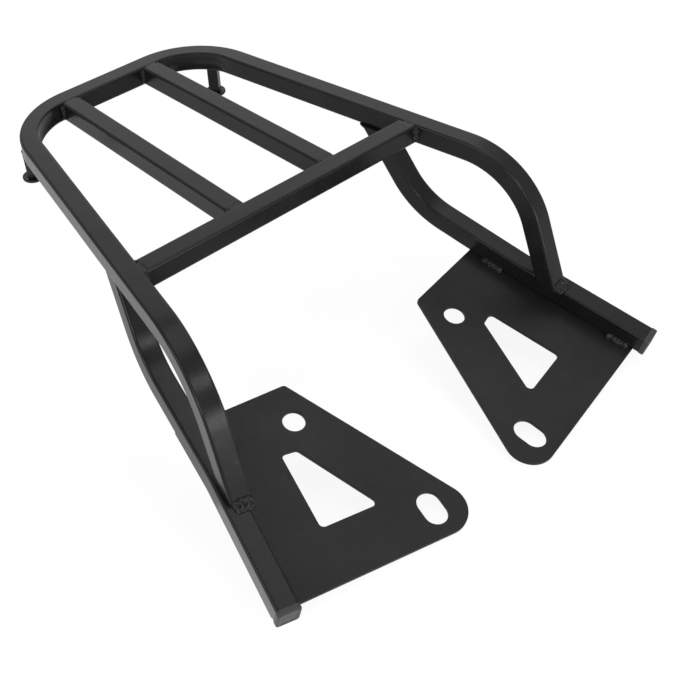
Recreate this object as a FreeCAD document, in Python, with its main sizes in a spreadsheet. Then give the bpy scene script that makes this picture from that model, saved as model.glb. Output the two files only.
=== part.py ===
import FreeCAD, Part
import math
import os
import Sketcher

# Rear luggage rack of square steel tube, in millimetres.
# X is across the rack, Y points to the rear and Z up.
# The origin is the centre of the crossbar's top face.

os.makedirs("parts", exist_ok=True)
doc = FreeCAD.newDocument("luggage_rack")
Vector = FreeCAD.Vector
Placement = FreeCAD.Placement
Rotation = FreeCAD.Rotation

# Driving dimensions
sheet = doc.addObject("Spreadsheet::Sheet", "sheet")


def dimension(alias, value, meaning):
    """Add one named value to the sheet."""
    dimension.row += 1
    sheet.set("A%d" % dimension.row, meaning)
    sheet.set("B%d" % dimension.row, str(value))
    sheet.setAlias("B%d" % dimension.row, alias)


dimension.row = 0
dimension("tube", 20, "side of the square tube")
dimension("tube_wall", 2, "wall of the tube")
dimension("tube_round", 2.5, "outer corner radius of the tube")
dimension("deck_half", 165.25, "hoop side centreline at the crossbar, from the middle")
dimension("taper_angle", 11.2, "angle of the hoop's sides to the rear, degrees")
dimension("deck_rear", 277.3, "rear bar centreline behind the crossbar's centreline")
dimension("rear_bend", 73, "centreline radius of the rear corners")
dimension("front_bend", 82, "centreline radius of the front bends")
dimension("front_start", 60.3, "start of the front bends ahead of the crossbar's centreline")
dimension("leg_turn_angle", 70, "angle of the front bends, degrees")
dimension("leg_lean_angle", 1.6, "inward lean of the legs, degrees")
dimension("slat_left_front", 46.5, "left slat's centre at the crossbar")
dimension("slat_left_rear", 50.5, "left slat's centre at the rear bar")
dimension("slat_right_front", 60.5, "right slat's centre at the crossbar")
dimension("slat_right_rear", 47, "right slat's centre at the rear bar")
dimension("plate_tilt", 14.79, "slope of the plates and rails down to the front, degrees")
dimension("plate_drop", 99.83, "depth of the plates' top plane below the deck at its datum line")
dimension("plate_datum", 10, "datum line of the plates behind the crossbar's centreline")
dimension("rail_inset", 1.71, "rail centreline at the datum line, inside the hoop's at the crossbar")
dimension("toe_angle", 11.15, "outward angle of the rails, degrees")
dimension("kink_angle", 2.93, "further outward angle of the rails' front, degrees")
dimension("rail_kink_at", 141, "kink ahead of the datum line")
dimension("rail_kink_bend", 400, "centreline radius of the kink")
dimension("riser_at", 15.6, "riser's bend ahead of the datum line")
dimension("riser_turn_angle", 42.2, "angle of the riser's bend, degrees")
dimension("riser_bend", 80, "centreline radius of the riser's bend")
dimension("plate_thickness", 4, "plate thickness")
dimension("plate_inset", 1, "plate edge inside the rail's outer face")
dimension("plate_behind", 52.7, "plate's rear outer corner behind the hole")
dimension("heel_inside", 17.4, "plate's rear inner corner from the hole to the middle")
dimension("heel_behind", 34.2, "plate's rear inner corner behind the hole")
dimension("tip_inside", 39.7, "plate's front inner corner from the slot's centre to the middle")
dimension("tip_ahead", 36.8, "plate's front inner corner ahead of the slot's centre")
dimension("front_behind", 9, "plate's front outer corner behind the slot's centre")
dimension("rail_beyond", 7.2, "rail's front end ahead of the plate's front outer corner")
dimension("heel_round", 4.5, "radius of the plate's rear inner corner")
dimension("tip_round", 24, "radius of the plate's front inner corner")
dimension("hole_inside", 63.24, "round hole from the rail's centreline at the datum line")
dimension("hole_ahead", 135.2, "round hole ahead of the datum line")
dimension("hole_bore", 20.5, "round hole's diameter")
dimension("slot_inside", 38.3, "slot's centre from the hole to the middle")
dimension("slot_ahead", 135.8, "slot's centre ahead of the hole")
dimension("slot_width", 21.5, "slot's width")
dimension("slot_length", 32, "slot's length end to end")
dimension("slot_toe_angle", 9, "outward angle of the slot, degrees")
dimension("window_heel_outside", 16.7, "window's rear inner corner outside the hole")
dimension("window_heel_ahead", 23.5, "window's rear inner corner ahead of the hole")
dimension("window_rear_outside", 31.1, "window's rear outer corner outside the hole")
dimension("window_rear_ahead", 18.9, "window's rear outer corner ahead of the hole")
dimension("window_front_outside", 87.7, "window's front outer corner outside the slot's centre")
dimension("window_front_behind", 43, "window's front outer corner behind the slot's centre")
dimension("window_tip_outside", 32.6, "window's front inner corner outside the slot's centre")
dimension("window_tip_behind", 30.5, "window's front inner corner behind the slot's centre")
dimension("window_round", 4.5, "radius of the window's corners")
dimension("cap_flange", 5.5, "thickness of the end cap's flange")
dimension("cap_proud", 0.5, "flange's step beyond the tube")
dimension("cap_bevel", 1.5, "bevel round the flange's front")
dimension("cap_plug", 14, "depth of the end cap's plug")
dimension("cap_clearance", 0.1, "gap between the plug and the tube's wall")
dimension("cap_wall", 2, "wall of the plug")
dimension("hook_angle", 37.3, "bearing of the hook from the corner's centre, degrees")
dimension("hook_out", 7, "hook's axis outside the rear corner's centreline")
dimension("hook_width", 11, "width of the hook's post")
dimension("hook_thick", 10, "thickness of the hook's post, away from the corner's centre")
dimension("hook_drop", 30, "length of the hook's post")
dimension("hook_round", 1, "radius of the post's upright edges")
dimension("knob_stud", 4.2, "radius of the knob's stud")
dimension("knob_reach", 1.9, "length of the knob's stud")
dimension("knob_radius", 11, "radius of the knob's head")
dimension("knob_head", 3, "thickness of the knob's head")
dimension("knob_bevel", 0.8, "bevel of the head's rims")
dimension("deck_weld", 3.5, "leg of the fillet welds in the deck's corners")
dimension("weld_bed", 0.8, "depth of the rear welds' root in the rear bar's round, before the cut")
dimension("foot_weld", 6.5, "leg of the weld at the front of a leg's foot")
dimension("heel_weld", 4.5, "leg of the weld behind a leg's foot")
dimension("foot_weld_run", 18, "length of the welds at a leg's foot")
dimension("riser_weld", 4.5, "leg of the welds at a riser's top")
dimension("riser_weld_run", 17, "length of the welds at a riser's top")
dimension("plate_weld", 5, "leg of the welds between rail and plate")
dimension("plate_weld_run", 24, "length of the welds between rail and plate")
dimension("plate_weld_rear", 113, "middle of the rear weld ahead of the datum line")
dimension("plate_weld_front", 250, "middle of the front weld ahead of the datum line")
dimension("hook_weld", 2.2, "leg of the weld round a hook's top")
dimension("weld_crown_ratio", 0.6, "bulge of a weld's face, 0.5 where it is flat")
dimension("weld_end_ratio", 0.3, "size of a weld's ends, as a share of its middle")
doc.recompute()


def size(alias):
    """Read one driving dimension."""
    return float(sheet.get(alias))


class Measure:
    """A length or an angle as an expression of the sheet, with its present value."""

    def __init__(self, text, value):
        self.text = text
        self.value = value

    def join(self, other, sign, value):
        return Measure("(%s %s %s)" % (self.text, sign, other.text), value)

    def __add__(self, other):
        return self.join(other, "+", self.value + other.value)

    def __sub__(self, other):
        return self.join(other, "-", self.value - other.value)

    def __mul__(self, other):
        return self.join(other, "*", self.value * other.value)

    def __truediv__(self, other):
        return self.join(other, "/", self.value / other.value)

    def __neg__(self):
        return Measure("-" + self.text, -self.value)


def named(alias):
    """Measure of one named value."""
    return Measure("sheet." + alias, size(alias))


def sine(angle):
    """Measure of an angle's sine."""
    return Measure("sin(%s)" % angle.text, math.sin(math.radians(angle.value)))


def cosine(angle):
    """Measure of an angle's cosine."""
    return Measure("cos(%s)" % angle.text, math.cos(math.radians(angle.value)))


ZERO = Measure("0", 0.0)
TWO = Measure("2", 2.0)
CORNER_CHORDS = 3


# Sketch helpers


def origin_plane(body, role):
    """Origin plane of a body."""
    for feature in body.Origin.OriginFeatures:
        if feature.Role == role:
            return feature


def sketch_on(body, name, role):
    """Sketch on one of the body's own origin planes."""
    sketch = body.newObject("Sketcher::SketchObject", name)
    sketch.AttachmentSupport = (origin_plane(body, role), "")
    sketch.MapMode = "FlatFace"
    return sketch


def pin_point(sketch, curve, point, across, along):
    """Fix a point of a curve by its two distances from the origin."""
    number = sketch.addConstraint(
        Sketcher.Constraint("DistanceX", -1, 1, curve, point, across.value))
    sketch.setExpression("Constraints[%d]" % number, across.text)
    number = sketch.addConstraint(
        Sketcher.Constraint("DistanceY", -1, 1, curve, point, along.value))
    sketch.setExpression("Constraints[%d]" % number, along.text)


def pin_radius(sketch, curve, radius):
    """Fix the radius of an arc or a circle."""
    number = sketch.addConstraint(Sketcher.Constraint("Radius", curve, radius.value))
    sketch.setExpression("Constraints[%d]" % number, radius.text)


def polygon(sketch, corners):
    """Closed outline of straight lines."""
    first = sketch.GeometryCount
    count = len(corners)
    spots = [Vector(across.value, along.value, 0) for across, along in corners]
    for number in range(count):
        line = Part.LineSegment(spots[number], spots[(number + 1) % count])
        sketch.addGeometry(line, False)
    for number in range(count):
        following = first + (number + 1) % count
        sketch.addConstraint(Sketcher.Constraint("Coincident", first + number, 2, following, 1))
    for number in range(count):
        pin_point(sketch, first + number, 1, corners[number][0], corners[number][1])


def square(sketch, side):
    """Square about the sketch's origin."""
    half = side / TWO
    polygon(sketch, [(-half, -half), (half, -half), (half, half), (-half, half)])


def rounded_square(sketch, side, radius):
    """Square about the sketch's origin, its corners rounded in CORNER_CHORDS chords."""
    reach = side / TWO - radius
    corners = []
    for step in range(CORNER_CHORDS + 1):
        turned = 90 * step / CORNER_CHORDS
        angle = Measure(str(turned), turned)
        corners.append((reach + radius * sine(angle), -reach - radius * cosine(angle)))
    for turn in range(3):
        corners += [(-along, across) for across, along in corners[-CORNER_CHORDS - 1:]]
    polygon(sketch, corners)


def slot_outline(sketch, near, far, radius):
    """Slot between two end centres."""
    start = Vector(near[0].value, near[1].value, 0)
    end = Vector(far[0].value, far[1].value, 0)
    run = (end - start).normalize()
    side = Vector(-run.y, run.x, 0) * radius.value
    bearing = math.atan2(run.y, run.x)
    quarter = math.pi / 2
    near_circle = Part.Circle(start, Vector(0, 0, 1), radius.value)
    far_circle = Part.Circle(end, Vector(0, 0, 1), radius.value)
    sketch.addGeometry(Part.LineSegment(start - side, end - side), False)
    sketch.addGeometry(
        Part.ArcOfCircle(far_circle, bearing - quarter, bearing + quarter), False)
    sketch.addGeometry(Part.LineSegment(end + side, start + side), False)
    sketch.addGeometry(
        Part.ArcOfCircle(near_circle, bearing + quarter, bearing + 3 * quarter), False)
    for number in range(4):
        sketch.addConstraint(Sketcher.Constraint("Tangent", number, 2, (number + 1) % 4, 1))
    sketch.addConstraint(Sketcher.Constraint("Equal", 1, 3))
    pin_radius(sketch, 1, radius)
    pin_point(sketch, 3, 3, near[0], near[1])
    pin_point(sketch, 1, 3, far[0], far[1])


def edge_names(feature, axis, spots):
    """Names of the edges along an axis that lie nearest to the spots."""
    found = []
    for number, edge in enumerate(feature.Shape.Edges, 1):
        run = edge.Vertexes[-1].Point - edge.Vertexes[0].Point
        if abs(run.dot(axis)) > edge.Length / 2:
            found.append((edge.CenterOfMass, "Edge%d" % number))
    names = []
    for spot in spots:
        nearest = min(found, key=lambda entry: (entry[0] - spot).cross(axis).Length)
        names.append(nearest[1])
    return names


def pocket_through(body, name, sketch):
    """Cut a sketch's outline right through the body, both ways."""
    faces = len(body.Shape.Faces)
    pocket = body.newObject("PartDesign::Pocket", name)
    pocket.Profile = sketch
    pocket.Type = "ThroughAll"
    pocket.Midplane = True
    doc.recompute()
    if len(pocket.Shape.Faces) == faces:
        raise RuntimeError("nothing cut: " + name)
    return pocket


def cut(name, base, tool):
    """Boolean cut of two objects."""
    result = doc.addObject("Part::Cut", name)
    result.Base = base
    result.Tool = tool
    return result


# Bent tubes


def bent_path(name, corners, bends):
    """Straight runs through the corners, joined by tangent arcs."""
    edges = []
    start = corners[0]
    for number, bend in enumerate(bends, 1):
        corner = corners[number]
        before = (corner - corners[number - 1]).normalize()
        after = (corners[number + 1] - corner).normalize()
        turn = before.getAngle(after)
        length = bend * math.tan(turn / 2)
        rise = bend / math.cos(turn / 2) - bend
        begin = corner - before * length
        middle = corner + (after - before).normalize() * rise
        end = corner + after * length
        edges.append(Part.LineSegment(start, begin).toShape())
        edges.append(Part.Arc(begin, middle, end).toShape())
        start = end
    edges.append(Part.LineSegment(start, corners[-1]).toShape())
    path = doc.addObject("Part::Feature", name)
    path.Shape = Part.Wire(edges)
    return path


def swept(name, path, stand, side, radius=None):
    """Sweep a square section, which stands at the path's start, along the path."""
    section = doc.addObject("Sketcher::SketchObject", name + "_section")
    section.Placement = stand
    if radius is None:
        square(section, side)
    else:
        rounded_square(section, side, radius)
    doc.recompute()
    sweep = doc.addObject("Part::Sweep", name)
    sweep.Sections = [section]
    edges = ["Edge%d" % number for number in range(1, len(path.Shape.Edges) + 1)]
    sweep.Spine = (path, edges)
    sweep.Solid = True
    sweep.Frenet = False
    return sweep


TUBE = named("tube")
CAVITY = TUBE - TWO * named("tube_wall")
ROUND = named("tube_round")
tube = size("tube")
half_tube = tube / 2
deck_level = -half_tube

# Fixing points of the plates: distance from the middle, and ahead of the datum line
RAIL_HALF = named("deck_half") - named("rail_inset")
HOLE = (RAIL_HALF - named("hole_inside"), named("hole_ahead"))
SLOT = (HOLE[0] - named("slot_inside"), HOLE[1] + named("slot_ahead"))
PLATE_REAR = HOLE[1] - named("plate_behind")
PLATE_FRONT = SLOT[1] - named("front_behind")
RAIL_FRONT = PLATE_FRONT + named("rail_beyond")
HEEL = (HOLE[0] - named("heel_inside"), HOLE[1] - named("heel_behind"))
TIP = (SLOT[0] - named("tip_inside"), SLOT[1] + named("tip_ahead"))
WINDOW = [
    (HOLE[0] + named("window_heel_outside"), HOLE[1] + named("window_heel_ahead")),
    (HOLE[0] + named("window_rear_outside"), HOLE[1] + named("window_rear_ahead")),
    (SLOT[0] + named("window_front_outside"), SLOT[1] - named("window_front_behind")),
    (SLOT[0] + named("window_tip_outside"), SLOT[1] - named("window_tip_behind")),
]

# Plane of the rails and plates
tilt = math.radians(size("plate_tilt"))
plate_origin = Vector(0, size("plate_datum"), -size("plate_drop"))
plate_across = Vector(1, 0, 0)
plate_along = Vector(0, math.cos(tilt), math.sin(tilt))
plate_up = Vector(0, -math.sin(tilt), math.cos(tilt))
plate_turn = Rotation(Vector(1, 0, 0), size("plate_tilt"))


def on_plate(across, along, up):
    """Point given by its distances in the plates' plane and over it."""
    return plate_origin + plate_across * across + plate_along * along + plate_up * up


# Hoop
taper = math.radians(size("taper_angle"))


def side_line(side, y):
    """Point of the hoop's side centreline at a given Y."""
    return Vector(side * (size("deck_half") - math.tan(taper) * y), y, deck_level)


def leg_frame(side):
    """Direction down the leg, its outward axis and its front axis."""
    ahead = Vector(side * math.sin(taper), -math.cos(taper), 0)
    outward = Vector(side * math.cos(taper), math.sin(taper), 0)
    lean = math.radians(size("leg_lean_angle"))
    down = Vector(0, 0, -math.cos(lean)) - outward * math.sin(lean)
    turn = math.radians(size("leg_turn_angle"))
    leg = ahead * math.cos(turn) + down * math.sin(turn)
    bend = Rotation(ahead, leg)
    return leg, bend.multVec(outward), bend.multVec(Vector(0, 0, 1))


leg_reach = size("front_bend") * math.tan(math.radians(size("leg_turn_angle")) / 2)
knee_y = -size("front_start") - leg_reach * math.cos(taper)
leg_length = 1.5 * size("plate_drop")
left_leg, left_outward, left_front = leg_frame(-1)
right_leg, right_outward, right_front = leg_frame(1)
left_foot = side_line(-1, knee_y) + left_leg * leg_length
right_foot = side_line(1, knee_y) + right_leg * leg_length
hoop_corners = [
    left_foot,
    side_line(-1, knee_y),
    side_line(-1, size("deck_rear")),
    side_line(1, size("deck_rear")),
    side_line(1, knee_y),
    right_foot,
]
hoop_bends = [size("front_bend"), size("rear_bend"), size("rear_bend"), size("front_bend")]
hoop_path = bent_path("hoop_path", hoop_corners, hoop_bends)
foot_stand = Placement(left_foot, Rotation(left_outward, Vector(), -left_leg, "ZXY"))
hoop_outer = swept("hoop_outer", hoop_path, foot_stand, TUBE, ROUND)
hoop_cavity = swept("hoop_cavity", hoop_path, foot_stand, CAVITY)
hoop_envelope = swept("hoop_envelope", hoop_path, foot_stand, TUBE)
hoop_tube = cut("hoop_tube", hoop_outer, hoop_cavity)

# The legs end on the rails' top plane
below_rails = doc.addObject("Part::Box", "below_rails")
below_rails.setExpression("Length", "4 * sheet.deck_half")
below_rails.setExpression("Width", (TWO * RAIL_FRONT).text)
below_rails.setExpression("Height", "sheet.plate_drop")
trim_corner = on_plate(-2 * size("deck_half"), -1.5 * RAIL_FRONT.value,
                       tube - size("plate_drop"))
below_rails.Placement = Placement(trim_corner, plate_turn)
hoop = cut("hoop", hoop_tube, below_rails)


# Rails


def rail_line(along):
    """Distance of the rail's centreline from the middle, at a station of the plates' plane."""
    kink_at = -size("rail_kink_at")
    toe = math.radians(size("toe_angle"))
    full = math.radians(size("toe_angle") + size("kink_angle"))
    inner = RAIL_HALF.value - math.tan(toe) * max(along, kink_at)
    return inner - math.tan(full) * min(along - kink_at, 0)


def rail_axes(side, angle):
    """Direction to the rear and outward axis of a rail's run at an outward angle."""
    toe = math.radians(angle)
    rearward = plate_across * (-side * math.sin(toe)) + plate_along * math.cos(toe)
    outward = plate_across * (side * math.cos(toe)) + plate_along * math.sin(toe)
    return rearward, outward


def riser_axes(side):
    """Direction up the riser, its outward axis and its front axis."""
    rearward, outward = rail_axes(side, size("toe_angle"))
    turn = math.radians(size("riser_turn_angle"))
    riser = rearward * math.cos(turn) + plate_up * math.sin(turn)
    front = plate_up * math.cos(turn) - rearward * math.sin(turn)
    return riser, outward, front


def rail_corners(side):
    """Corners of the rail's centreline, from its front end to above the hoop's underside."""
    corners = []
    for along in (-RAIL_FRONT.value, -size("rail_kink_at"), -size("riser_at")):
        corners.append(on_plate(side * rail_line(along), along, half_tube))
    corners.append(corners[-1] + riser_axes(side)[0] * 1.2 * size("plate_drop"))
    return corners


SIDES = ((-1, "left"), (1, "right"))
front_angle = size("toe_angle") + size("kink_angle")

# The risers end on the hoop's underside
above_underside = doc.addObject("Part::Box", "above_underside")
above_underside.setExpression("Length", "4 * sheet.deck_half")
above_underside.setExpression("Width", (TWO * RAIL_FRONT).text)
above_underside.setExpression("Height", "sheet.plate_drop")
above_underside.Placement = Placement(
    Vector(-2 * size("deck_half"), -RAIL_FRONT.value, -tube), Rotation())

rails = {}
for side, hand in SIDES:
    corners = rail_corners(side)
    path = bent_path("rail_path_" + hand, corners, [size("rail_kink_bend"), size("riser_bend")])
    rearward, outward = rail_axes(side, front_angle)
    stand = Placement(corners[0], Rotation(outward, Vector(), rearward, "ZXY"))
    outer = swept("rail_outer_" + hand, path, stand, TUBE, ROUND)
    cavity = swept("rail_cavity_" + hand, path, stand, CAVITY)
    rails[hand] = cut("rail_" + hand, cut("rail_tube_" + hand, outer, cavity), above_underside)


# Crossbar
def straight_tube(name, role):
    """Body of a straight tube, with its section on one of its origin planes."""
    body = doc.addObject("PartDesign::Body", name + "_body")
    section = sketch_on(body, name + "_section", role)
    rounded_square(section, TUBE, ROUND)
    square(section, CAVITY)
    doc.recompute()
    pad = body.newObject("PartDesign::Pad", name + "_pad")
    pad.Profile = section
    return body, pad


crossbar_body, crossbar_pad = straight_tube("crossbar", "YZ_Plane")
crossbar_pad.setExpression("Length", "2 * sheet.deck_half")
crossbar_pad.Midplane = True
crossbar_body.Placement = Placement(Vector(0, 0, deck_level), Rotation())
front_crossbar = cut("front_crossbar", crossbar_body, hoop_envelope)
crossbar_block = doc.addObject("Part::Box", "crossbar_block")
crossbar_block.setExpression("Length", "2 * sheet.deck_half")
crossbar_block.setExpression("Width", "sheet.tube")
crossbar_block.setExpression("Height", "sheet.tube")
crossbar_block.Placement = Placement(Vector(-size("deck_half"), -half_tube, -tube), Rotation())


# Slats
slats = {}
slat_stands = {}
for side, hand in SIDES:
    front_x = side * size("slat_%s_front" % hand)
    rear_x = side * size("slat_%s_rear" % hand)
    slope = (rear_x - front_x) / (size("deck_rear") - tube)
    start = Vector(front_x - slope * half_tube, 0, deck_level)
    turn = Rotation(Vector(0, 0, 1), -math.degrees(math.atan(slope)))
    body, pad = straight_tube("slat_" + hand, "XZ_Plane")
    pad.setExpression("Length", "sheet.deck_rear")
    pad.Reversed = True
    slat_stands[hand] = Placement(start, turn)
    body.Placement = slat_stands[hand]
    behind = cut("slat_behind_" + hand, body, crossbar_block)
    slats[hand] = cut("slat_" + hand, behind, hoop_envelope)


# Plates
MARGIN = TUBE / TWO - named("plate_inset")
TOE = named("toe_angle")
FULL = TOE + named("kink_angle")
KINK = named("rail_kink_at")
rear_edge = RAIL_HALF + sine(TOE) / cosine(TOE) * PLATE_REAR + MARGIN / cosine(TOE)
kink_edge = RAIL_HALF + sine(TOE) / cosine(TOE) * KINK + MARGIN / cosine(TOE)
front_edge = (RAIL_HALF + sine(TOE) / cosine(TOE) * KINK
              + sine(FULL) / cosine(FULL) * (PLATE_FRONT - KINK) + MARGIN / cosine(FULL))

plates = {}
for side, hand in SIDES:

    def sided(place):
        """A place on this piece's side, in its sketches."""
        across, ahead = place
        return (across if side > 0 else -across), -ahead

    def corner(place):
        """The same place as a point."""
        across, along = sided(place)
        return Vector(across.value, along.value, 0)

    body = doc.addObject("PartDesign::Body", "plate_" + hand)
    outline = sketch_on(body, "plate_outline_" + hand, "XY_Plane")
    places = [(rear_edge, PLATE_REAR), HEEL, TIP, (front_edge, PLATE_FRONT), (kink_edge, KINK)]
    polygon(outline, [sided(place) for place in places])
    doc.recompute()
    pad = body.newObject("PartDesign::Pad", "plate_pad_" + hand)
    pad.Profile = outline
    pad.setExpression("Length", "sheet.plate_thickness")
    pad.Reversed = True

    window_sketch = sketch_on(body, "plate_window_sketch_" + hand, "XY_Plane")
    polygon(window_sketch, [sided(place) for place in WINDOW])
    doc.recompute()
    pocket_through(body, "plate_window_" + hand, window_sketch)

    slot_sketch = sketch_on(body, "plate_slot_sketch_" + hand, "XY_Plane")
    reach = (named("slot_length") - named("slot_width")) / TWO
    step_across = reach * sine(named("slot_toe_angle"))
    step_ahead = reach * cosine(named("slot_toe_angle"))
    near = sided((SLOT[0] - step_across, SLOT[1] - step_ahead))
    far = sided((SLOT[0] + step_across, SLOT[1] + step_ahead))
    slot_outline(slot_sketch, near, far, named("slot_width") / TWO)
    doc.recompute()
    pocket_through(body, "plate_slot_" + hand, slot_sketch)

    hole_sketch = sketch_on(body, "plate_hole_sketch_" + hand, "XY_Plane")
    circle = Part.Circle(corner(HOLE), Vector(0, 0, 1), size("hole_bore") / 2)
    hole_sketch.addGeometry(circle, False)
    pin_point(hole_sketch, 0, 3, *sided(HOLE))
    pin_radius(hole_sketch, 0, named("hole_bore") / TWO)
    doc.recompute()
    rounded = pocket_through(body, "plate_hole_" + hand, hole_sketch)

    for place, spots in (("tip", [TIP]), ("heel", [HEEL]), ("window", WINDOW)):
        edges = edge_names(rounded, Vector(0, 0, 1), [corner(spot) for spot in spots])
        fillet = body.newObject("PartDesign::Fillet", "plate_%s_round_%s" % (place, hand))
        fillet.Base = (rounded, edges)
        fillet.setExpression("Radius", "sheet.%s_round" % place)
        doc.recompute()
        rounded = fillet
    body.Placement = Placement(plate_origin, plate_turn)
    plates[hand] = body


# End caps
PROUD = named("cap_proud")
PLUG = CAVITY - TWO * named("cap_clearance")
caps = {}
for side, hand in SIDES:
    body = doc.addObject("PartDesign::Body", "end_cap_" + hand)
    flange_sketch = sketch_on(body, "cap_flange_sketch_" + hand, "XY_Plane")
    rounded_square(flange_sketch, TUBE + TWO * PROUD, ROUND + PROUD)
    flange = body.newObject("PartDesign::Pad", "cap_flange_pad_" + hand)
    flange.Profile = flange_sketch
    flange.setExpression("Length", "sheet.cap_flange")
    doc.recompute()
    heights = [face.CenterOfMass.z for face in flange.Shape.Faces]
    front_face = "Face%d" % (heights.index(max(heights)) + 1)
    bevel = body.newObject("PartDesign::Chamfer", "cap_bevel_" + hand)
    bevel.Base = (flange, [front_face])
    bevel.setExpression("Size", "sheet.cap_bevel")
    doc.recompute()
    plug_sketch = sketch_on(body, "cap_plug_sketch_" + hand, "XY_Plane")
    square(plug_sketch, PLUG)
    square(plug_sketch, PLUG - TWO * named("cap_wall"))
    doc.recompute()
    plug = body.newObject("PartDesign::Pad", "cap_plug_pad_" + hand)
    plug.Profile = plug_sketch
    plug.setExpression("Length", "sheet.cap_plug")
    plug.Reversed = True
    rearward, outward = rail_axes(side, front_angle)
    body.Placement = Placement(rail_corners(side)[0],
                               Rotation(outward, Vector(), -rearward, "ZXY"))
    caps[hand] = body


# Hooks under the rear corners
corner_gap = size("rear_bend") * math.tan((math.pi / 2 - taper) / 2)
corner_x = side_line(1, size("deck_rear")).x - corner_gap
corner_y = size("deck_rear") - size("rear_bend")
bearing = math.radians(size("hook_angle"))
HALF_WIDTH = named("hook_width") / TWO
HALF_THICK = named("hook_thick") / TWO
STUD = named("knob_stud")
STUD_END = -named("knob_reach")
RIM = named("knob_radius")
HEAD_END = STUD_END - named("knob_head")
BEVEL = named("knob_bevel")
posts = {}
knobs = {}
for side, hand in SIDES:
    away = size("rear_bend") + size("hook_out")
    spot = Vector(side * (corner_x + away * math.cos(bearing)),
                  corner_y + away * math.sin(bearing), -tube)
    heading = size("hook_angle") if side > 0 else 180 - size("hook_angle")
    turn = Rotation(Vector(0, 0, 1), heading)
    post = doc.addObject("PartDesign::Body", "hook_post_" + hand)
    outline = sketch_on(post, "post_outline_" + hand, "XY_Plane")
    ends = [(-HALF_THICK, -HALF_WIDTH), (HALF_THICK, -HALF_WIDTH),
            (HALF_THICK, HALF_WIDTH), (-HALF_THICK, HALF_WIDTH)]
    polygon(outline, ends)
    doc.recompute()
    pad = post.newObject("PartDesign::Pad", "post_pad_" + hand)
    pad.Profile = outline
    pad.setExpression("Length", "sheet.hook_drop")
    pad.Reversed = True
    doc.recompute()
    edges = [Vector(across.value, along.value, 0) for across, along in ends]
    post_round = post.newObject("PartDesign::Fillet", "post_round_" + hand)
    post_round.Base = (pad, edge_names(pad, Vector(0, 0, 1), edges))
    post_round.setExpression("Radius", "sheet.hook_round")
    post.Placement = Placement(spot, turn)
    posts[hand] = post

    knob = doc.addObject("PartDesign::Body", "hook_knob_" + hand)
    profile = sketch_on(knob, "knob_profile_" + hand, "XZ_Plane")
    polygon(profile, [
        (ZERO, ZERO),
        (STUD, ZERO),
        (STUD, STUD_END),
        (RIM - BEVEL, STUD_END),
        (RIM, STUD_END - BEVEL),
        (RIM, HEAD_END + BEVEL),
        (RIM - BEVEL, HEAD_END),
        (ZERO, HEAD_END),
    ])
    doc.recompute()
    turned = knob.newObject("PartDesign::Revolution", "knob_turned_" + hand)
    turned.Profile = profile
    turned.ReferenceAxis = (profile, ["V_Axis"])
    turned.Angle = 360
    knob.Placement = Placement(spot - Vector(0, 0, size("hook_drop")), turn)
    knobs[hand] = knob

doc.recompute()


# Fillet welds


def flat_sided(sections):
    """Solid with flat faces through closed outlines of as many points each."""
    faces = [Part.Face(Part.makePolygon(sections[0])), Part.Face(Part.makePolygon(sections[-1]))]
    for near, far in zip(sections, sections[1:]):
        for number in range(len(near) - 1):
            ring = [near[number], near[number + 1], far[number + 1], far[number], near[number]]
            faces.append(Part.Face(Part.makePolygon(ring)))
    return Part.Solid(Part.Shell(faces)).removeSplitter()


def weld(name, spot, first, second, leg, run):
    """Weld in the corner of two faces, given by their outward normals; it tapers to its ends."""
    root = first.cross(second).normalize()
    up_first = (second - first * second.dot(first)).normalize()
    up_second = (first - second * first.dot(second)).normalize()
    crown = (up_first + up_second) * size("weld_crown_ratio")
    outline = [Vector(), up_first, crown, up_second, Vector()]
    sections = []
    for share, step in ((-0.5, 0), (-0.5, 1), (0.5, -1), (0.5, 0)):
        centre = spot + root * (share * run + step * leg)
        height = leg if step else leg * size("weld_end_ratio")
        sections.append([centre + point * height for point in outline])
    feature = doc.addObject("Part::Feature", name)
    feature.Shape = flat_sided(sections)
    welds.append(feature)
    return feature


def hoop_inner_x(side, y):
    """Inner face of the hoop's side at a given Y."""
    return side_line(side, y).x - side * half_tube / math.cos(taper)


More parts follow.
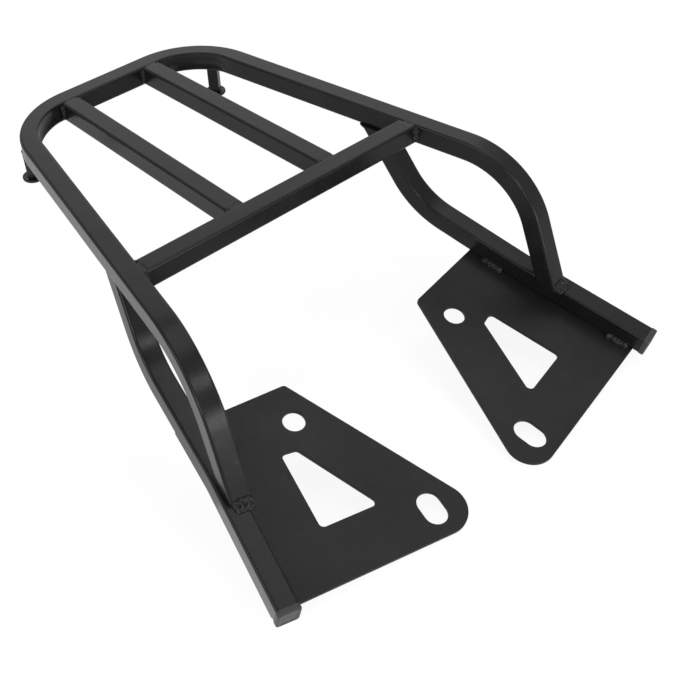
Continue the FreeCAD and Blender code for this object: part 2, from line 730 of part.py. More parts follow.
welds = []
deck_weld = size("deck_weld")
flat = tube - 2 * size("tube_round")
for side, hand in SIDES:
    # Crossbar to the hoop, in the corners ahead of it and behind it
    inward = Vector(-side * math.cos(taper), -math.sin(taper), 0)
    for place, sense in (("front", -1), ("rear", 1)):
        y = sense * half_tube
        weld("weld_crossbar_%s_%s" % (place, hand), Vector(hoop_inner_x(side, y), y, deck_level),
             inward, Vector(0, sense, 0), deck_weld, flat)

    # Slats to the crossbar and to the rear bar, in the corners on both sides
    frame = slat_stands[hand]
    along = frame.Rotation.multVec(Vector(0, 1, 0))
    for place, sense in (("inner", -side), ("outer", side)):
        face = frame.Rotation.multVec(Vector(sense, 0, 0))
        edge = frame.multVec(Vector(sense * half_tube, 0, 0))
        spot = edge + along * ((half_tube - edge.y) / along.y)
        weld("weld_slat_front_%s_%s" % (place, hand), spot, face, Vector(0, 1, 0),
             deck_weld, flat)

        # The rear bar's inner face is straight up to the corners' centres, then round
        inner = size("rear_bend") - half_tube
        spot = edge + along * ((corner_y + inner - edge.y) / along.y)
        centre = Vector(math.copysign(min(abs(spot.x), corner_x), spot.x), corner_y, deck_level)
        beyond = spot - centre
        level = math.sqrt(inner ** 2 - beyond.cross(along).Length ** 2)
        spot = spot + along * (level - beyond.dot(along) + size("weld_bed"))
        rear = weld("weld_slat_rear_%s_%s" % (place, hand), spot, face,
                    (centre - spot).normalize(), deck_weld + size("weld_bed"), flat)
        rear.Shape = rear.Shape.cut(hoop_envelope.Shape)

    # Leg to the rail's top
    leg, outward, front = leg_frame(side)
    knee = side_line(side, knee_y)
    top_plane = on_plate(0, 0, tube)
    for place, sense in (("foot", 1), ("heel", -1)):
        edge = knee + front * (sense * half_tube)
        spot = edge + leg * ((top_plane - edge).dot(plate_up) / leg.dot(plate_up))
        weld("weld_%s_%s" % (place, hand), spot, front * sense, plate_up,
             size(place + "_weld"), size("foot_weld_run"))

    # Riser to the hoop's underside
    riser, outward, front = riser_axes(side)
    base = rail_corners(side)[2]
    for place, sense in (("front", 1), ("rear", -1)):
        edge = base + front * (sense * half_tube)
        spot = edge + riser * ((-tube - edge.z) / riser.z)
        weld("weld_riser_%s_%s" % (place, hand), spot, front * sense, Vector(0, 0, -1),
             size("riser_weld"), size("riser_weld_run"))

    # Rail's inner face to the plate's top
    for place, angle in (("rear", size("toe_angle")), ("front", front_angle)):
        along = -size("plate_weld_" + place)
        across = rail_line(along) - half_tube / math.cos(math.radians(angle))
        weld("weld_plate_%s_%s" % (place, hand), on_plate(side * across, along, 0),
             -rail_axes(side, angle)[1], plate_up, size("plate_weld"), size("plate_weld_run"))

    # Hook's post to the hoop's underside, on all sides but the outer one
    stand = posts[hand].Placement
    rings = []
    for reach, depth in ((size("hook_weld"), 0), (0, size("hook_weld"))):
        deep = size("hook_thick") / 2 + reach
        wide = size("hook_width") / 2 + reach
        face = size("hook_thick") / 2
        ring = [(-deep, -wide), (face, -wide), (face, wide), (-deep, wide), (-deep, -wide)]
        rings.append([stand.multVec(Vector(x, y, -depth)) for x, y in ring])
    feature = doc.addObject("Part::Feature", "weld_hook_" + hand)
    feature.Shape = flat_sided(rings).cut(posts[hand].Shape)
    welds.append(feature)

doc.recompute()

# Pieces
pieces = [hoop, front_crossbar]
for side, hand in SIDES:
    pieces += [slats[hand], rails[hand], plates[hand], caps[hand], posts[hand], knobs[hand]]
pieces += welds

for entry in doc.Objects:
    if "Invalid" in entry.State or "Error" in entry.State:
        raise RuntimeError("object failed: " + entry.Name)
for piece in pieces:
    piece.Label = piece.Name
    shape = piece.Shape
    if shape.isNull() or not shape.isValid() or len(shape.Solids) != 1:
        raise RuntimeError("piece failed: %s, %d solids" % (piece.Name, len(shape.Solids)))
    shape.exportStep(os.path.join("parts", piece.Label + ".step"))
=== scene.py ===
import math

import bmesh
import bpy
from mathutils import Matrix, Vector, noise


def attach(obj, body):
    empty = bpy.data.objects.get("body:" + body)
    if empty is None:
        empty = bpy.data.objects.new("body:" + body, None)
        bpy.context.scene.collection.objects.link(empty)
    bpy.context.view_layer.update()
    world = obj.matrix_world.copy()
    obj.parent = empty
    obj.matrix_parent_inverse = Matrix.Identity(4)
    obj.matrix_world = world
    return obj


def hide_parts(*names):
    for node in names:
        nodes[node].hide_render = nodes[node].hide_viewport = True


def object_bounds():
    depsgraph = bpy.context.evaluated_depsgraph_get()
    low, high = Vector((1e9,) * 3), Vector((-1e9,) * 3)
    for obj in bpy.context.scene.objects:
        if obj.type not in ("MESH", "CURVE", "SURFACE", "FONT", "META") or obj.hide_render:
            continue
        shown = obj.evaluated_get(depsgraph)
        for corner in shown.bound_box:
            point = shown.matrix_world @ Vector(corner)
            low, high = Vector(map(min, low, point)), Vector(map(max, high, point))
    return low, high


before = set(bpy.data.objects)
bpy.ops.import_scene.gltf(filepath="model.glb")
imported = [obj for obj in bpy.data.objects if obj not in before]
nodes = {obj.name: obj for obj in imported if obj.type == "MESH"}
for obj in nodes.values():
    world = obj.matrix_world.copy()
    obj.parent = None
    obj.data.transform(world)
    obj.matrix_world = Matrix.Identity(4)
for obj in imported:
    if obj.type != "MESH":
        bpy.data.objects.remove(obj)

# Looks of the luggage rack: satin black powder coat on square tube and plates, and moulded caps.
# The rack's own sizes are in millimetres, all that belongs to the stage is in metres.

cad_low, cad_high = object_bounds()
scene = bpy.context.scene

# Camera at the photograph's viewing angle, in metres
LENS = 63.98
SENSOR = 36
CLIP_NEAR = 0.05
CLIP_FAR = 20
CAMERA_RIGHT = Vector((0.73999, -0.67179, -0.03332))
CAMERA_UP = Vector((0.46937, 0.48027, 0.74097))
CAMERA_BACK = Vector((-0.48177, -0.56395, 0.67071))
CAMERA_SPOT = Vector((-0.54313, -0.70519, 0.61986))

# Coat: scales of its noises, and heights of its relief in metres
CLOUD_SCALE = 14
GLOSS_SCALE = 260
DUST_SCALE = 180
DUST_PICK_SCALE = 60
PEEL_SCALE = 900
PEEL_HEIGHT = 0.00002
WAVE_SCALE = 45
WAVE_HEIGHT = 0.0004
DUST_BRIGHTER = 9

# Sizes of the rack in millimetres, its angles in radians
MM = 0.001
TUBE = 20
HALF = TUBE / 2
ROUND = 2.5
DECK_HALF = 165.25
TAPER = math.radians(11.2)
DECK_REAR = 277.3
REAR_BEND = 73
FRONT_BEND = 82
FRONT_START = 60.3
LEG_TURN = math.radians(70)
LEG_LEAN = math.radians(1.6)
SLAT_PLACES = {"left": (-46.5, -50.5), "right": (60.5, 47)}
TILT = math.radians(14.79)
PLATE_DROP = 99.83
PLATE_DATUM = 10
RAIL_HALF = 163.54
TOE = math.radians(11.15)
KINK = math.radians(2.93)
KINK_AT = 141
KINK_BEND = 400
RISER_AT = 15.6
RISER_TURN = math.radians(42.2)
RISER_BEND = 80
RAIL_FRONT = 269.2
HOOK_BEARING = math.radians(37.3)
HOOK_AWAY = REAR_BEND + 7
HOOK_DROP = 30
CORNER_X = (DECK_HALF - math.tan(TAPER) * DECK_REAR
            - REAR_BEND * math.tan((math.pi / 2 - TAPER) / 2))
CORNER_Y = DECK_REAR - REAR_BEND
KNEE_Y = -FRONT_START - FRONT_BEND * math.tan(LEG_TURN / 2) * math.cos(TAPER)
LEG_LENGTH = 1.5 * PLATE_DROP
SIDES = ((-1, "left"), (1, "right"))
PLATE_ALONG = Vector((0, math.cos(TILT), math.sin(TILT)))
PLATE_UP = Vector((0, -math.sin(TILT), math.cos(TILT)))
RIGHT = Vector((1, 0, 0))
BACK = Vector((0, 1, 0))
UP = Vector((0, 0, 1))

# Fine form, in millimetres
SINK = 0.3              # how far a tube's end reaches into its neighbour
DIP_RUN = 4             # ground length at the end of a deck tube
DIP_STEP = 0.5          # distance of the sections there
WELD_ROW = 0.4          # distance of the sections of a weld
SEAM_HALF = 3.4         # half the width of a seam
SEAM_SHIFT = 0.6        # how far a seam's middle lies from the wall, on its tube's side
SEAM_BELOW = 2.8        # depth of a seam's foot
PLATE_EDGE = 0.0005     # broken edge of a plate, in metres
POST_EDGE = 0.0003      # broken edge of a hook's post, in metres
SHARP_ANGLE = math.radians(50)
FLAT_ANGLE = math.radians(12)

# Stage, in metres and watts
FLOOR_HALF = 6
FLOOR_BELOW = 0.0005
FLOOR_SEEN = 0.9
FLOOR_GREY = 0.92
STRIP_OVER = 0.002
WORLD_LIGHT = 0.5
RACK_MIDDLE = (0, 0, -0.05)


# Camera
def make_camera():
    """Camera at the photograph's viewing angle."""
    data = bpy.data.cameras.new("camera")
    data.lens = LENS
    data.sensor_width = SENSOR
    data.clip_start = CLIP_NEAR
    data.clip_end = CLIP_FAR
    camera = bpy.data.objects.new("camera", data)
    scene.collection.objects.link(camera)
    columns = [CAMERA_RIGHT, CAMERA_UP, CAMERA_BACK]
    turn = Matrix([[column[row] for column in columns] for row in range(3)])
    camera.matrix_world = Matrix.Translation(CAMERA_SPOT) @ turn.to_4x4()
    scene.camera = camera


# Materials
def tree_of(name):
    """New material with an emptied node tree, and its output node."""
    material = bpy.data.materials.new(name)
    material.use_nodes = True
    tree = material.node_tree
    tree.nodes.clear()
    output = tree.nodes.new("ShaderNodeOutputMaterial")
    return material, tree, output


def add(tree, kind, inputs=(), **settings):
    """Node with its plain input values and its settings."""
    node = tree.nodes.new(kind)
    for name, value in settings.items():
        setattr(node, name, value)
    for socket, value in dict(inputs).items():
        node.inputs[socket].default_value = value
    return node


def noise_at(tree, place, kind="ShaderNodeTexNoise", **inputs):
    """Noise or Voronoi texture at a place, with its plain input values."""
    node = add(tree, kind, inputs={name.capitalize(): value for name, value in inputs.items()})
    tree.links.new(place, node.inputs["Vector"])
    return node


def ramp(tree, source, stops):
    """Colour ramp fed by a socket; stops are (place, grey)."""
    node = tree.nodes.new("ShaderNodeValToRGB")
    elements = node.color_ramp.elements
    while len(elements) > 1:
        elements.remove(elements[0])
    elements[0].position = stops[0][0]
    elements[0].color = (stops[0][1],) * 3 + (1,)
    for place, grey in stops[1:]:
        element = elements.new(place)
        element.color = (grey,) * 3 + (1,)
    tree.links.new(source, node.inputs["Fac"])
    return node.outputs["Color"]


def coat(name, base, roughness, level=0.12, specks=0.5):
    """Satin powder coat: fine orange peel, cloudy colour and gloss, and a few pale specks."""
    material, tree, output = tree_of(name)
    link = tree.links.new
    place = add(tree, "ShaderNodeTexCoord").outputs["Object"]
    shader = add(tree, "ShaderNodeBsdfPrincipled",
                 inputs={"Specular IOR Level": level, "IOR": 1.5})
    link(shader.outputs["BSDF"], output.inputs["Surface"])

    clouds = noise_at(tree, place, scale=CLOUD_SCALE, detail=5, roughness=0.6)
    fine = noise_at(tree, place, scale=GLOSS_SCALE, detail=4, roughness=0.7)
    dust = noise_at(tree, place, kind="ShaderNodeTexVoronoi", scale=DUST_SCALE)
    pick = noise_at(tree, place, scale=DUST_PICK_SCALE, detail=1)

    shade = ramp(tree, clouds.outputs["Fac"], [(0.3, base * 0.75), (0.5, base), (0.75, base * 1.5)])
    speck = ramp(tree, dust.outputs["Distance"], [(0.0, 1), (0.09, 1), (0.13, 0)])
    few = ramp(tree, pick.outputs["Fac"], [(0.0, 0), (0.66, 0), (0.7, specks)])
    where = add(tree, "ShaderNodeMath", operation="MULTIPLY")
    link(speck, where.inputs[0])
    link(few, where.inputs[1])
    colour = add(tree, "ShaderNodeMix", data_type="RGBA")
    link(where.outputs[0], colour.inputs["Factor"])
    link(shade, colour.inputs["A"])
    colour.inputs["B"].default_value = (base * DUST_BRIGHTER,) * 3 + (1,)
    link(colour.outputs["Result"], shader.inputs["Base Color"])

    gloss = ramp(tree, fine.outputs["Fac"], [(0.3, roughness * 0.85), (0.7, roughness * 1.2)])
    link(gloss, shader.inputs["Roughness"])

    peel = noise_at(tree, place, scale=PEEL_SCALE, detail=3, roughness=0.55)
    bump = add(tree, "ShaderNodeBump", inputs={"Strength": 0.6, "Distance": PEEL_HEIGHT})
    link(peel.outputs["Fac"], bump.inputs["Height"])
    swell = noise_at(tree, place, scale=WAVE_SCALE, detail=2)
    wave = add(tree, "ShaderNodeBump", inputs={"Strength": 0.5, "Distance": WAVE_HEIGHT})
    link(swell.outputs["Fac"], wave.inputs["Height"])
    link(bump.outputs["Normal"], wave.inputs["Normal"])
    link(wave.outputs["Normal"], shader.inputs["Normal"])
    return material


def slot_of(node):
    """Material slot of a node of the frame."""
    for start, slot in (("weld", "weld_coat"), ("plate", "plate_coat"),
                        ("end_cap", "cap_plastic"), ("hook", "hook_coat")):
        if node.startswith(start):
            return slot
    return "tube_coat"


def dress():
    """Put the materials on the frame's nodes."""
    for name, piece in nodes.items():
        piece.data.materials.clear()
        piece.data.materials.append(materials[slot_of(name)])


# Lines and axes of the rack
def on_plate(across, along, up):
    """Point given by its distances in the plates' plane and over it."""
    return Vector((across, PLATE_DATUM, -PLATE_DROP)) + PLATE_ALONG * along + PLATE_UP * up


def side_line(side, y):
    """Point of the hoop's side centreline."""
    return Vector((side * (DECK_HALF - math.tan(TAPER) * y), y, -HALF))


def side_axes(side):
    """Direction to the front and outward axis of the hoop's side."""
    ahead = Vector((side * math.sin(TAPER), -math.cos(TAPER), 0))
    return ahead, Vector((side * math.cos(TAPER), math.sin(TAPER), 0))


def leg_frame(side):
    """Direction down the leg, its outward axis and its front axis."""
    ahead, outward = side_axes(side)
    down = -UP * math.cos(LEG_LEAN) - outward * math.sin(LEG_LEAN)
    leg = ahead * math.cos(LEG_TURN) + down * math.sin(LEG_TURN)
    turn = ahead.rotation_difference(leg)
    return leg, turn @ outward, turn @ UP


def rail_line(along):
    """Distance of the rail's centreline from the middle."""
    inner = RAIL_HALF - math.tan(TOE) * max(along, -KINK_AT)
    return inner - math.tan(TOE + KINK) * min(along + KINK_AT, 0)


def rail_axes(side, toe):
    """Direction to the rear and outward axis of a rail's run."""
    across = RIGHT * side
    rearward = PLATE_ALONG * math.cos(toe) - across * math.sin(toe)
    return rearward, across * math.cos(toe) + PLATE_ALONG * math.sin(toe)


def riser_axes(side):
    """Direction up the riser and its front axis."""
    rearward = rail_axes(side, TOE)[0]
    riser = rearward * math.cos(RISER_TURN) + PLATE_UP * math.sin(RISER_TURN)
    return riser, PLATE_UP * math.cos(RISER_TURN) - rearward * math.sin(RISER_TURN)


def rail_corners(side):
    """Corners of the rail's centreline, from its front end to the riser's top."""
    corners = [on_plate(side * rail_line(along), along, HALF)
               for along in (-RAIL_FRONT, -KINK_AT, -RISER_AT)]
    return corners + [corners[-1] + riser_axes(side)[0] * PLATE_DROP]


def smooth_step(value):
    """Ease from 0 to 1."""
    value = min(max(value, 0), 1)
    return value * value * (3 - 2 * value)


def ripple_at(place, pitch):
    """Height of a weld's ripple, from 0 in its valleys to 1 on its ridges."""
    phase = place / pitch
    return 1 - abs(2 * (phase - math.floor(phase)) - 1) ** 2


# Mesh building
def piece_of(name, replaced, slot, points, faces, flat=()):
    """Object from points in millimetres, which replaces a node of the frame if one is given."""
    mesh = bpy.data.meshes.new(name)
    mesh.from_pydata([point * MM for point in points], [], faces)
    mesh.validate()
    shape = bmesh.new()
    shape.from_mesh(mesh)
    bmesh.ops.recalc_face_normals(shape, faces=shape.faces)
    shape.to_mesh(mesh)
    shape.free()
    finish_piece(name, replaced, slot, mesh, flat)


def finish_piece(name, replaced, slot, mesh, flat=()):
    """Object of a mesh, with its material, body and slot; the rims of flat faces are sharp."""
    rims = set()
    for face in mesh.polygons:
        face.use_smooth = face.index not in flat
        if face.index in flat:
            rims.update(face.edge_keys)
    for edge in mesh.edges:
        if edge.key in rims:
            edge.use_edge_sharp = True
    piece = bpy.data.objects.new(name, mesh)
    scene.collection.objects.link(piece)
    mesh.materials.append(materials[slot])
    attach(piece, "root")
    if replaced:
        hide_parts(replaced)


def loft(sections):
    """Points and faces through closed sections of as many points; the ends are flat."""
    count = len(sections[0])
    points = [point for section in sections for point in section]
    faces = []
    for row in range(len(sections) - 1):
        near, far = row * count, (row + 1) * count
        for number in range(count):
            following = (number + 1) % count
            faces.append((near + number, near + following, far + following, far + number))
    last = (len(sections) - 1) * count
    flat = (len(faces), len(faces) + 1)
    faces.append(tuple(reversed(range(count))))
    faces.append(tuple(range(last, last + count)))
    return points, faces, flat


def rounded_outline(half, radius, steps=5, spread=(0.93, 0.4)):
    """Outline of a rounded square, with a few points on its flats."""
    reach = half - radius
    quarter = []
    for step in range(steps + 1):
        turned = math.pi / 2 * step / steps
        quarter.append((reach + radius * math.sin(turned), -reach - radius * math.cos(turned)))
    quarter += [(half, share * reach) for share in (-spread[0], -spread[1], spread[1], spread[0])]
    outline = []
    for turn in range(4):
        outline += quarter
        quarter = [(-v, u) for u, v in quarter]
    return outline


TUBE_OUTLINE = rounded_outline(HALF, ROUND)


def bent_stations(corners, bends, steps=24):
    """Stations along straight runs joined by arcs: point, direction, bend and share of its arc."""
    stations = [(corners[0], (corners[1] - corners[0]).normalized(), 0, 0)]
    for number, bend in enumerate(bends, 1):
        corner = corners[number]
        before = (corner - corners[number - 1]).normalized()
        after = (corners[number + 1] - corner).normalized()
        turn = before.angle(after)
        begin = corner - before * bend * math.tan(turn / 2)
        inward = (after - before * after.dot(before)).normalized()
        for step in range(steps + 1):
            angle = turn * step / steps
            spot = begin + before * bend * math.sin(angle) + inward * bend * (1 - math.cos(angle))
            ahead = before * math.cos(angle) + inward * math.sin(angle)
            stations.append((spot, ahead, number, step / steps))
    stations.append((corners[-1], (corners[-1] - corners[-2]).normalized(), 0, 1))
    return stations


def deck_stations(first, last):
    """Stations of a straight deck tube, with the depth of its ground end in place of a share."""
    run = last - first
    ahead = run.normalized()
    near = [step * DIP_STEP for step in range(int(DIP_RUN / DIP_STEP) + 1)] + [5, 12]
    depths = [max(0, 1 - away / DIP_RUN) ** 2 for away in near]
    front = [(first + ahead * away, ahead, 0, depth) for away, depth in zip(near, depths)]
    rear = [(last - ahead * away, ahead, 0, depth) for away, depth in zip(near, depths)]
    return front + rear[::-1]


def tube_piece(name, replaced, stations, across, start, end, press=None):
    """Round-cornered tube through its stations, cut by a plane at each end."""
    sections = []
    ahead = stations[0][1]
    for place, (spot, heading, bend, share) in enumerate(stations):
        across = ahead.rotation_difference(heading) @ across
        ahead = heading
        upward = across.cross(ahead)
        plane = start if place == 0 else end if place == len(stations) - 1 else None
        section = []
        for u, v in TUBE_OUTLINE:
            if press:
                u, v = press(u, v, bend, share)
            point = spot + across * u + upward * v
            if plane:
                point = point + ahead * ((plane[0] - point).dot(plane[1]) / ahead.dot(plane[1]))
            section.append(point)
        sections.append(section)
    points, faces, flat = loft(sections)
    piece_of(name, replaced, "tube_coat", points, faces, flat)


def press_corner(u, v, bend, share):
    """Inner wall of the hoop's rear corners, its second and third bend, pressed in by the tool."""
    if bend not in (2, 3):
        return u, v
    amount = smooth_step(share * 4) * smooth_step((1 - share) * 4)
    wall = smooth_step((-u - 1) / 7)
    hollow = 2.2 + 2.4 * (1 - (v / 9) ** 2)
    return u + amount * wall * hollow, v


def dip_end(u, v, bend, share):
    """Top of a deck tube, ground down at its welded ends."""
    return u, v - share * smooth_step((v - HALF / 2) / 3)


def make_tubes():
    """Hoop, crossbar, slats and rails with their real corner radii."""
    feet = [side_line(side, KNEE_Y) + leg_frame(side)[0] * LEG_LENGTH for side, hand in SIDES]
    corners = [feet[0], side_line(-1, KNEE_Y), side_line(-1, DECK_REAR),
               side_line(1, DECK_REAR), side_line(1, KNEE_Y), feet[1]]
    stations = bent_stations(corners, [FRONT_BEND, REAR_BEND, REAR_BEND, FRONT_BEND])
    ground = (on_plate(0, 0, TUBE - SINK), PLATE_UP)
    tube_piece("tube_hoop", "hoop", stations, leg_frame(-1)[1], ground, ground, press_corner)

    walls = []
    for side, hand in SIDES:
        outward = side_axes(side)[1]
        walls.append((side_line(side, 0) - outward * (HALF - SINK), outward))
    inner = DECK_HALF - HALF / math.cos(TAPER)
    ends = [Vector((side * inner, 0, -HALF)) for side, hand in SIDES]
    tube_piece("tube_crossbar", "front_crossbar", deck_stations(*ends), -BACK, *walls, dip_end)

    near = (BACK * (HALF - SINK), BACK)
    far = (BACK * (DECK_REAR - HALF + SINK), BACK)
    for hand, (front_x, rear_x) in SLAT_PLACES.items():
        front = Vector((front_x, HALF, -HALF))
        rear = Vector((rear_x, DECK_REAR - HALF, -HALF))
        tube_piece("tube_slat_" + hand, "slat_" + hand, deck_stations(front, rear),
                   (rear - front).normalized().cross(UP), near, far, dip_end)

    underside = (UP * (SINK - TUBE), UP)
    for side, hand in SIDES:
        corners = rail_corners(side)
        rearward, outward = rail_axes(side, TOE + KINK)
        tube_piece("tube_rail_" + hand, "rail_" + hand,
                   bent_stations(corners, [KINK_BEND, RISER_BEND]), outward,
                   (corners[0], rearward), underside)


# Welds
def bead(place, spot, first, second, leg, run, pitch=3.4, ripple=0.16, swell=0.28, curl=0.55):
    """Rippled weld in the corner of two faces, given by their outward normals."""
    root = first.cross(second).normalized()
    up_first = (second - first * second.dot(first)).normalized()
    up_second = (first - second * first.dot(second)).normalized()
    out = (up_first + up_second).normalized()
    rows = max(20, int(run / WELD_ROW))
    steps = 10
    sections = []
    for row in range(rows + 1):
        along = (row / rows - 0.5) * run
        inset = min((run / 2 - abs(along)) / (0.8 * leg), 1)
        grow = 0.06 + 0.94 * math.sqrt(1 - (1 - inset) ** 2)
        section = [spot + root * along - out * 0.05]
        for step in range(steps + 1):
            share = step / steps
            arch = math.sin(math.pi * share)
            ridge = ripple_at(along + curl * leg * arch, pitch)
            rough = noise.noise(spot * 0.37 + root * along * 0.35 + out * share) * 0.12
            height = leg * grow * arch * (swell + ripple * (ridge - 0.5) + rough)
            edge = leg * grow * (1 + rough + 0.12 * (ridge - 0.5))
            flat = up_first * (edge * (1 - share)) + up_second * (edge * share)
            section.append(spot + root * along + flat + out * height)
        sections.append(section)
    points, faces, flat = loft(sections)
    piece_of("bead_" + place, "weld_" + place, "weld_coat", points, faces, flat)


def make_deck_beads(side, hand):
    """Beads at the ends of the crossbar and of the slat on a side."""
    outward = side_axes(side)[1]
    for place, sense in (("front", -1), ("rear", 1)):
        wall = side_line(side, sense * HALF)
        wall.x -= side * HALF / math.cos(TAPER)
        bead("crossbar_%s_%s" % (place, hand), wall, -outward, BACK * sense, 3.6, 16)

    front_x, rear_x = SLAT_PLACES[hand]
    along = Vector((rear_x - front_x, DECK_REAR - TUBE, 0)).normalized()
    middle = Vector((front_x, HALF, -HALF))
    for place, sense in (("inner", -side), ("outer", side)):
        face = along.cross(UP) * sense
        edge = middle + face * HALF
        for end, y, facing in (("front", HALF, 1), ("rear", DECK_REAR - HALF, -1)):
            spot = edge + along * ((y - edge.y) / along.y)
            beyond = abs(spot.x) - CORNER_X
            if end == "rear" and beyond > 0:
                inner = REAR_BEND - HALF
                spot.y -= inner - math.sqrt(inner ** 2 - beyond ** 2)
            bead("slat_%s_%s_%s" % (end, place, hand), spot, face, BACK * facing,
                 3.4, 16, pitch=5, ripple=0.06)


def make_rail_beads(side, hand):
    """Beads at the leg's foot, at the riser's top and between the rail and the plate on a side."""
    leg, outward, front = leg_frame(side)
    knee = side_line(side, KNEE_Y)
    for place, sense, size in (("foot", 1, 6.8), ("heel", -1, 4.8)):
        edge = knee + front * (sense * HALF)
        spot = edge + leg * ((on_plate(0, 0, TUBE) - edge).dot(PLATE_UP) / leg.dot(PLATE_UP))
        bead("%s_%s" % (place, hand), spot, front * sense, PLATE_UP, size, 19,
             pitch=5.6, ripple=0.32, swell=0.12, curl=1.0)

    riser, front = riser_axes(side)
    base = rail_corners(side)[2]
    for place, sense in (("front", 1), ("rear", -1)):
        edge = base + front * (sense * HALF)
        spot = edge + riser * ((-TUBE - edge.z) / riser.z)
        bead("riser_%s_%s" % (place, hand), spot, front * sense, -UP, 4.8, 18)

    for place, ahead, toe in (("rear", 113, TOE), ("front", 250, TOE + KINK)):
        across = rail_line(-ahead) - HALF / math.cos(toe)
        bead("plate_%s_%s" % (place, hand), on_plate(side * across, -ahead, 0),
             -rail_axes(side, toe)[1], PLATE_UP, 5.2, 25, pitch=3.8)


def seam(place, middle, along, across):
    """Low ripples in the ground groove between a tube's end and the edge that it meets."""
    run = TUBE - 2 * ROUND
    rows = int(run / WELD_ROW)
    foot = SEAM_HALF - 0.2
    sections = []
    for row in range(rows + 1):
        away = (row / rows - 0.5) * run
        spot = middle + along * away
        fade = smooth_step((run / 2 - abs(away)) / 1.5)
        section = []
        for step in range(9):
            share = step / 4 - 1
            ridge = ripple_at(away + 0.9 * (1 - share * share), 2.6)
            rough = noise.noise(spot * 0.5 + across * share)
            depth = 0.06 + 0.2 * share * share + 0.3 * (1 - ridge) + 0.15 * abs(rough)
            depth += 1.5 * (1 - fade)
            section.append(spot + across * (SEAM_HALF * share) - UP * depth)
        section += [spot + across * width - UP * SEAM_BELOW for width in (foot, -foot)]
        sections.append(section)
    points, faces, flat = loft(sections)
    piece_of("seam_" + place, None, "weld_coat", points, faces, flat)


def make_seams():
    """Seams on top of the deck's joints."""
    for side, hand in SIDES:
        ahead, outward = side_axes(side)
        spot = side_line(side, 0) - outward * (HALF + SEAM_SHIFT)
        spot.z = 0
        seam("crossbar_" + hand, spot, ahead, outward)
        front_x, rear_x = SLAT_PLACES[hand]
        seam("slat_front_" + hand, Vector((front_x, HALF + SEAM_SHIFT, 0)), RIGHT, BACK)
        inner_y = DECK_REAR - HALF - SEAM_SHIFT
        seam("slat_rear_" + hand, Vector((rear_x, inner_y, 0)), RIGHT, BACK)


# Hooks and caps
def lathe(name, replaced, slot, profile, centre, turns=56):
    """Turned piece from its profile of radius and height, with a closed end at each side."""
    angles = [math.tau * number / turns for number in range(turns)]
    sections = []
    for radius, height in profile:
        sections.append([
            centre + Vector((radius * math.cos(angle), radius * math.sin(angle), height))
            for angle in angles
        ])
    points, faces, flat = loft(sections)
    piece_of(name, replaced, slot, points, faces, flat)


def arc(centre, radius, start, stop, steps):
    """Points of an arc in a profile, with its angles in degrees."""
    angles = [math.radians(start + (stop - start) * step / steps) for step in range(steps + 1)]
    return [(centre[0] + radius * math.cos(a), centre[1] + radius * math.sin(a)) for a in angles]


def make_knobs():
    """Turned knobs under the hooks' posts: a washer, a waist and a disc with a rolled rim."""
    profile = [(0.6, 0), (3.9, 0), (3.9, -0.5), (4.2, -0.5), (5.7, -0.55)]
    profile += arc((5.6, -0.85), 0.3, 90, -90, 4)
    profile += [(4.3, -1.2), (4.2, -1.8), (4.6, -2.15), (7.6, -2.3), (8.4, -2.1)]
    profile += arc((9.9, -3.0), 1.1, 115, 0, 6) + arc((9.9, -3.8), 1.1, 0, -90, 5)
    profile += [(6, -4.9), (0.6, -4.9)]
    for side, hand in SIDES:
        centre = Vector((side * (CORNER_X + HOOK_AWAY * math.cos(HOOK_BEARING)),
                         CORNER_Y + HOOK_AWAY * math.sin(HOOK_BEARING), -TUBE - HOOK_DROP))
        lathe("knob_" + hand, "hook_knob_" + hand, "hook_coat", profile, centre)


def make_caps():
    """Moulded end caps with soft edges and a shallow panel in front."""
    # Rows of distance ahead of the rail's end, half width and corner radius: shank, back rim,
    # front rim and panel
    rows = [(-14, 7.9, 0.8), (0, 7.9, 0.8), (0, 10.1, 2.6)]
    rows += [(0.4 * (1 - math.cos(a)), 10.1 + 0.4 * math.sin(a), 2.6 + 0.4 * math.sin(a))
             for a in (math.radians(angle) for angle in (30, 60, 90))]
    rows += [(4 + 1.5 * math.sin(a), 9 + 1.5 * math.cos(a), 1.5 + 1.5 * math.cos(a))
             for a in (math.radians(angle) for angle in (0, 18, 36, 54, 72, 90))]
    rows += [(5.5, 7.4, 1.2), (5.35, 7.1, 1.1), (5.1, 6.9, 1.0)]
    for side, hand in SIDES:
        rearward, outward = rail_axes(side, TOE + KINK)
        upward = outward.cross(-rearward)
        base = rail_corners(side)[0]
        sections = []
        for ahead, half, radius in rows:
            spot = base - rearward * ahead
            sections.append([spot + outward * u + upward * v
                             for u, v in rounded_outline(half, radius)])
        points, faces, flat = loft(sections)
        piece_of("cap_" + hand, "end_cap_" + hand, "cap_plastic", points, faces, flat)


def eased(node, slot, width):
    """Copy of a node's shape with its sharp edges broken; its large faces shade flat."""
    mesh = nodes[node].data.copy()
    mesh.name = "eased_" + node
    shape = bmesh.new()
    shape.from_mesh(mesh)
    bmesh.ops.remove_doubles(shape, verts=shape.verts, dist=1e-6)
    bmesh.ops.dissolve_limit(shape, angle_limit=0.01, verts=shape.verts, edges=shape.edges)
    sharp = [edge for edge in shape.edges
             if len(edge.link_faces) == 2 and edge.calc_face_angle() > SHARP_ANGLE]
    bmesh.ops.bevel(shape, geom=sharp, offset=width, segments=2, profile=0.5,
                    affect="EDGES", clamp_overlap=True)
    for edge in shape.edges:
        edge.smooth = len(edge.link_faces) != 2 or edge.calc_face_angle() < FLAT_ANGLE
    shape.to_mesh(mesh)
    shape.free()
    mesh.materials.clear()
    finish_piece("eased_" + node, node, slot, mesh)


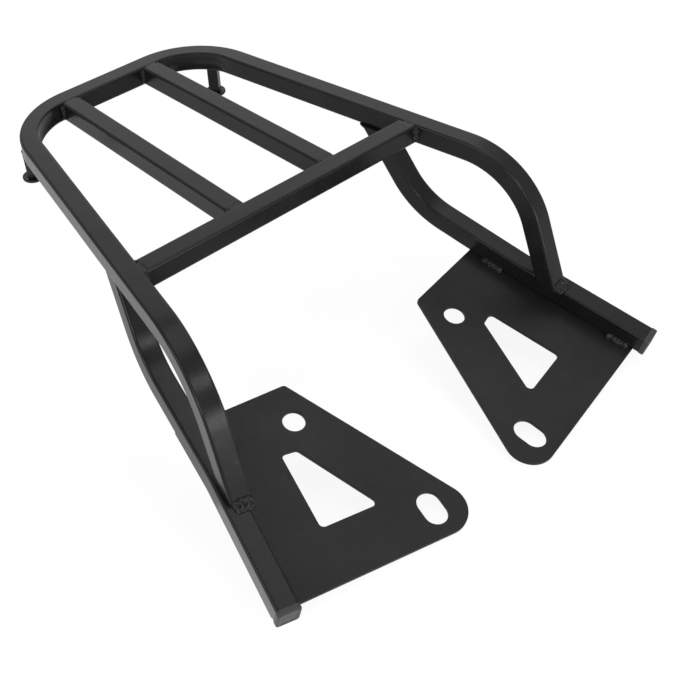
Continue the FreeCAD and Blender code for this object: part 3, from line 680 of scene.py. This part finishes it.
# Stage
def area_lamp(name, spot, turn, width, height, power):
    """Rectangular lamp at a spot, turned by its Euler angles."""
    data = bpy.data.lights.new(name, "AREA")
    data.shape = "RECTANGLE"
    data.size = width
    data.size_y = height
    data.energy = power
    lamp = bpy.data.objects.new(name, data)
    scene.collection.objects.link(lamp)
    lamp.location = spot
    lamp.rotation_euler = turn
    return lamp


def softbox(name, spot, target, width, height, power):
    """Area lamp that looks at a target."""
    look = (Vector(target) - Vector(spot)).to_track_quat("-Z", "Y")
    area_lamp(name, spot, look.to_euler(), width, height, power)


def floor_strip(name, low, high, power):
    """Area lamp that lies just over the floor and looks up, unseen by the camera."""
    spot = ((low[0] + high[0]) / 2, (low[1] + high[1]) / 2, cad_low.z + STRIP_OVER)
    lamp = area_lamp(name, spot, (math.pi, 0, 0), high[0] - low[0], high[1] - low[1], power)
    lamp.visible_camera = False


def make_lamps():
    """Soft boxes round the rack, and two strips that its outer walls mirror."""
    softbox("key", (1.1, 1.35, 1.25), RACK_MIDDLE, 1.6, 1.6, 7.5)
    softbox("top", (0.65, 0.1, 1.7), RACK_MIDDLE, 1.1, 1.6, 13)
    floor_strip("rear_left", (-0.5, -0.1), (-0.26, 0.65), 0.95)
    floor_strip("rail_left", (-0.29, -0.27), (-0.208, -0.11), 0.02)
    softbox("fill", (-1.35, 0.2, 0.68), RACK_MIDDLE, 0.7, 0.5, 9)
    softbox("fill_low", (-1.1, -0.9, 0.4), RACK_MIDDLE, 0.7, 0.5, 9)
    softbox("front", (0.1, -1.15, 0), (-0.19, -0.13, -0.08), 0.8, 0.34, 8)
    softbox("front_high", (0.23, -1.15, 1.05), (-0.19, -0.1, -0.03), 0.6, 0.3, 6)


def white_where_seen(tree, strength):
    """Strength for camera, glossy and transmission rays, and nothing for the others."""
    path = add(tree, "ShaderNodeLightPath")
    first = add(tree, "ShaderNodeMath", operation="MAXIMUM")
    second = add(tree, "ShaderNodeMath", operation="MAXIMUM")
    scaled = add(tree, "ShaderNodeMath", operation="MULTIPLY")
    tree.links.new(path.outputs["Is Camera Ray"], first.inputs[0])
    tree.links.new(path.outputs["Is Glossy Ray"], first.inputs[1])
    tree.links.new(first.outputs[0], second.inputs[0])
    tree.links.new(path.outputs["Is Transmission Ray"], second.inputs[1])
    tree.links.new(second.outputs[0], scaled.inputs[0])
    scaled.inputs[1].default_value = strength
    return scaled.outputs[0]


def mix_where_seen(tree, strength, unseen, seen, output):
    """Shader of the stage: one where it is seen or mirrored, the other where it only lights."""
    mix = add(tree, "ShaderNodeMixShader")
    tree.links.new(white_where_seen(tree, strength), mix.inputs["Fac"])
    tree.links.new(unseen.outputs[0], mix.inputs[1])
    tree.links.new(seen.outputs[0], mix.inputs[2])
    tree.links.new(mix.outputs[0], output.inputs["Surface"])


def make_floor():
    """Plain pale floor that keeps the object's shadow."""
    mesh = bpy.data.meshes.new("floor")
    shape = bmesh.new()
    bmesh.ops.create_grid(shape, x_segments=1, y_segments=1, size=FLOOR_HALF)
    shape.to_mesh(mesh)
    shape.free()
    floor = bpy.data.objects.new("floor", mesh)
    floor.location = (0, 0, cad_low.z - FLOOR_BELOW)
    scene.collection.objects.link(floor)
    material, tree, output = tree_of("floor_white")
    grey = (FLOOR_GREY,) * 3 + (1,)
    paint = add(tree, "ShaderNodeBsdfDiffuse", inputs={"Color": grey})
    glow = add(tree, "ShaderNodeEmission", inputs={"Color": (1, 1, 1, 1), "Strength": 1.0})
    mix_where_seen(tree, FLOOR_SEEN, paint, glow, output)
    mesh.materials.append(material)


def make_world():
    """White where seen, a plain grey light elsewhere."""
    world = bpy.data.worlds.new("studio")
    scene.world = world
    world.use_nodes = True
    tree = world.node_tree
    tree.nodes.clear()
    output = add(tree, "ShaderNodeOutputWorld")
    seen = add(tree, "ShaderNodeBackground", inputs={"Color": (1, 1, 1, 1), "Strength": 1.0})
    light = add(tree, "ShaderNodeBackground",
                inputs={"Color": (1, 1, 1, 1), "Strength": WORLD_LIGHT})
    mix_where_seen(tree, 1.0, light, seen, output)


# Base grey, roughness and, where they differ, specular level and share of specks
materials = {
    "tube_coat": coat("tube_coat", 0.006, 0.25),
    "plate_coat": coat("plate_coat", 0.007, 0.42),
    "weld_coat": coat("weld_coat", 0.008, 0.26),
    "hook_coat": coat("hook_coat", 0.006, 0.28),
    "cap_plastic": coat("cap_plastic", 0.02, 0.48, level=0.22, specks=0.2),
}
make_camera()
dress()
make_tubes()
for side, hand in SIDES:
    make_deck_beads(side, hand)
    make_rail_beads(side, hand)
make_seams()
make_knobs()
make_caps()
for side, hand in SIDES:
    eased("plate_" + hand, "plate_coat", PLATE_EDGE)
    eased("hook_post_" + hand, "hook_coat", POST_EDGE)
make_world()
make_floor()
make_lamps()
scene.view_settings.view_transform = "Standard"
